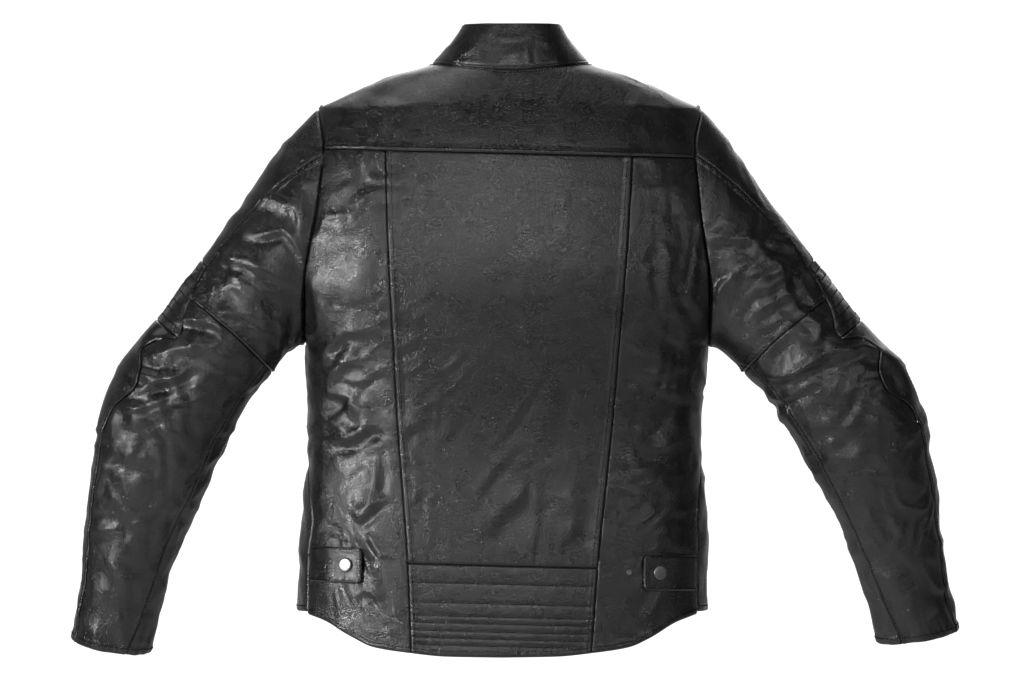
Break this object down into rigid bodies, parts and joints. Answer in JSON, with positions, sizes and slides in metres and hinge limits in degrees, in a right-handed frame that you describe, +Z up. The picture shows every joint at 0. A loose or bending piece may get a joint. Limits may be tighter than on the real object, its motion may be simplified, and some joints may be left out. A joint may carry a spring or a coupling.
{
  "type": "leather riding jacket",
  "caption": "Black leather riding jacket with stand collar, front zip, stretch-ribbed elbows, stitched tail band and snapped waist straps, hanging from its neck loop.",
  "frame": {"origin": "middle of the hanging loop's lower edge inside the back of the neck", "axes": "+Z up, +Y to the wearer's front, +X to the wearer's right"},
  "size_m": [1.0092, 0.2358, 0.7135],
  "materials": {
    "leather": "satin",
    "lining": "matte",
    "foam": "matte",
    "zip_tape": "matte",
    "metal": "satin"
  },
  "bodies": {
    "torso": {"back_centre_panel": "leather", "back_protector": "foam", "back_rib_panel": "leather", "back_side_panel_left": "leather", "back_side_panel_right": "leather", "back_yoke": "leather", "collar": "leather", "front_panel_left": "leather", "front_panel_right": "leather", "front_zip_tape_left": "zip_tape", "front_zip_tape_right": "zip_tape", "hanging_loop": "leather", "lining_back": "lining", "lining_front_left": "lining", "lining_front_right": "lining", "pocket_bag_left": "lining", "pocket_bag_right": "lining", "pocket_zip_tape_left": "zip_tape", "pocket_zip_tape_right": "zip_tape", "side_panel_left": "leather", "side_panel_right": "leather", "snap_stud_left": "metal", "snap_stud_right": "metal", "spare_stud_left": "metal", "spare_stud_right": "metal", "storm_flap": "leather"},
    "upper_sleeve_left": {"top_sleeve_left": "leather", "under_sleeve_left": "leather", "elbow_outer_panel_left": "leather", "elbow_inner_panel_left": "leather", "sleeve_lining_left": "lining", "shoulder_protector_left": "foam"},
    "forearm_left": {"forearm_back_panel_left": "leather", "forearm_front_panel_left": "leather", "forearm_lining_left": "lining", "elbow_protector_left": "foam", "cuff_zip_tape_left": "zip_tape"},
    "cuff_slider_left": {"cuff_zip_slider_left": "metal"},
    "strap_left": {"waist_strap_left": "leather", "snap_cap_left": "metal"},
    "pocket_slider_left": {"pocket_zip_slider_left": "metal"},
    "pocket_pull_left": {"pocket_zip_pull_left": "metal"},
    "upper_sleeve_right": {"top_sleeve_right": "leather", "under_sleeve_right": "leather", "elbow_outer_panel_right": "leather", "elbow_inner_panel_right": "leather", "sleeve_lining_right": "lining", "shoulder_protector_right": "foam"},
    "forearm_right": {"forearm_back_panel_right": "leather", "forearm_front_panel_right": "leather", "forearm_lining_right": "lining", "elbow_protector_right": "foam", "cuff_zip_tape_right": "zip_tape"},
    "cuff_slider_right": {"cuff_zip_slider_right": "metal"},
    "strap_right": {"waist_strap_right": "leather", "snap_cap_right": "metal"},
    "pocket_slider_right": {"pocket_zip_slider_right": "metal"},
    "pocket_pull_right": {"pocket_zip_pull_right": "metal"},
    "front_slider": {"front_zip_slider": "metal"},
    "front_pull": {"front_zip_pull": "metal"}
  },
  "joints": [
    {"name": "shoulder_left", "type": "hinge", "parent": "torso", "child": "upper_sleeve_left", "pos_m": [-0.21831, 0.0315, -0.016], "axis": [0, 1, 0], "range_deg": [0, 35]},
    {"name": "elbow_left", "type": "hinge", "parent": "upper_sleeve_left", "child": "forearm_left", "pos_m": [-0.357, 0.0326, -0.3146], "axis": [0.7948, 0, -0.6069], "range_deg": [0, 40], "deforming": ["elbow_outer_panel_left", "elbow_inner_panel_left"]},
    {"name": "waist_strap_left", "type": "hinge", "parent": "torso", "child": "strap_left", "pos_m": [-0.22762, -0.00279, -0.5315], "axis": [-0.0342, 0.0018, -0.9994], "range_deg": [0, 100]},
    {"name": "pocket_zip_left", "type": "slide", "parent": "torso", "child": "pocket_slider_left", "axis": [-0.1514, 0.0364, -0.9878], "range_m": [0, 0.126]},
    {"name": "pocket_pull_left", "type": "hinge", "parent": "pocket_slider_left", "child": "pocket_pull_left", "pos_m": [-0.12647, 0.13913, -0.37964], "axis": [0.9595, 0.2454, -0.138], "range_deg": [0, 150]},
    {"name": "cuff_zip_left", "type": "slide", "parent": "forearm_left", "child": "cuff_slider_left", "axis": [0.2377, -0.147, 0.9601], "range_m": [0, 0.06]},
    {"name": "shoulder_right", "type": "hinge", "parent": "torso", "child": "upper_sleeve_right", "pos_m": [0.21769, 0.0315, -0.016], "axis": [0, -1, 0], "range_deg": [0, 35]},
    {"name": "elbow_right", "type": "hinge", "parent": "upper_sleeve_right", "child": "forearm_right", "pos_m": [0.3559, 0.0326, -0.3146], "axis": [0.7692, 0, 0.639], "range_deg": [0, 40], "deforming": ["elbow_outer_panel_right", "elbow_inner_panel_right"]},
    {"name": "waist_strap_right", "type": "hinge", "parent": "torso", "child": "strap_right", "pos_m": [0.21086, -0.00302, -0.5424], "axis": [-0.0033, -0.0014, 1], "range_deg": [0, 100]},
    {"name": "pocket_zip_right", "type": "slide", "parent": "torso", "child": "pocket_slider_right", "axis": [0.1213, 0.0366, -0.9919], "range_m": [0, 0.126]},
    {"name": "pocket_pull_right", "type": "hinge", "parent": "pocket_slider_right", "child": "pocket_pull_right", "pos_m": [0.11451, 0.1391, -0.37907], "axis": [0.9638, -0.2435, 0.1089], "range_deg": [0, 150]},
    {"name": "cuff_zip_right", "type": "slide", "parent": "forearm_right", "child": "cuff_slider_right", "axis": [-0.246, -0.1485, 0.9578], "range_m": [0, 0.06]},
    {"name": "front_zip", "type": "slide", "parent": "torso", "child": "front_slider", "axis": [-0.0155, 0.0665, -0.9977], "range_m": [0, 0.56]},
    {"name": "front_pull", "type": "hinge", "parent": "front_slider", "child": "front_pull", "pos_m": [-0.00016, 0.12399, -0.00597], "axis": [0.9999, 0, -0.0155], "range_deg": [0, 150]}
  ]
}
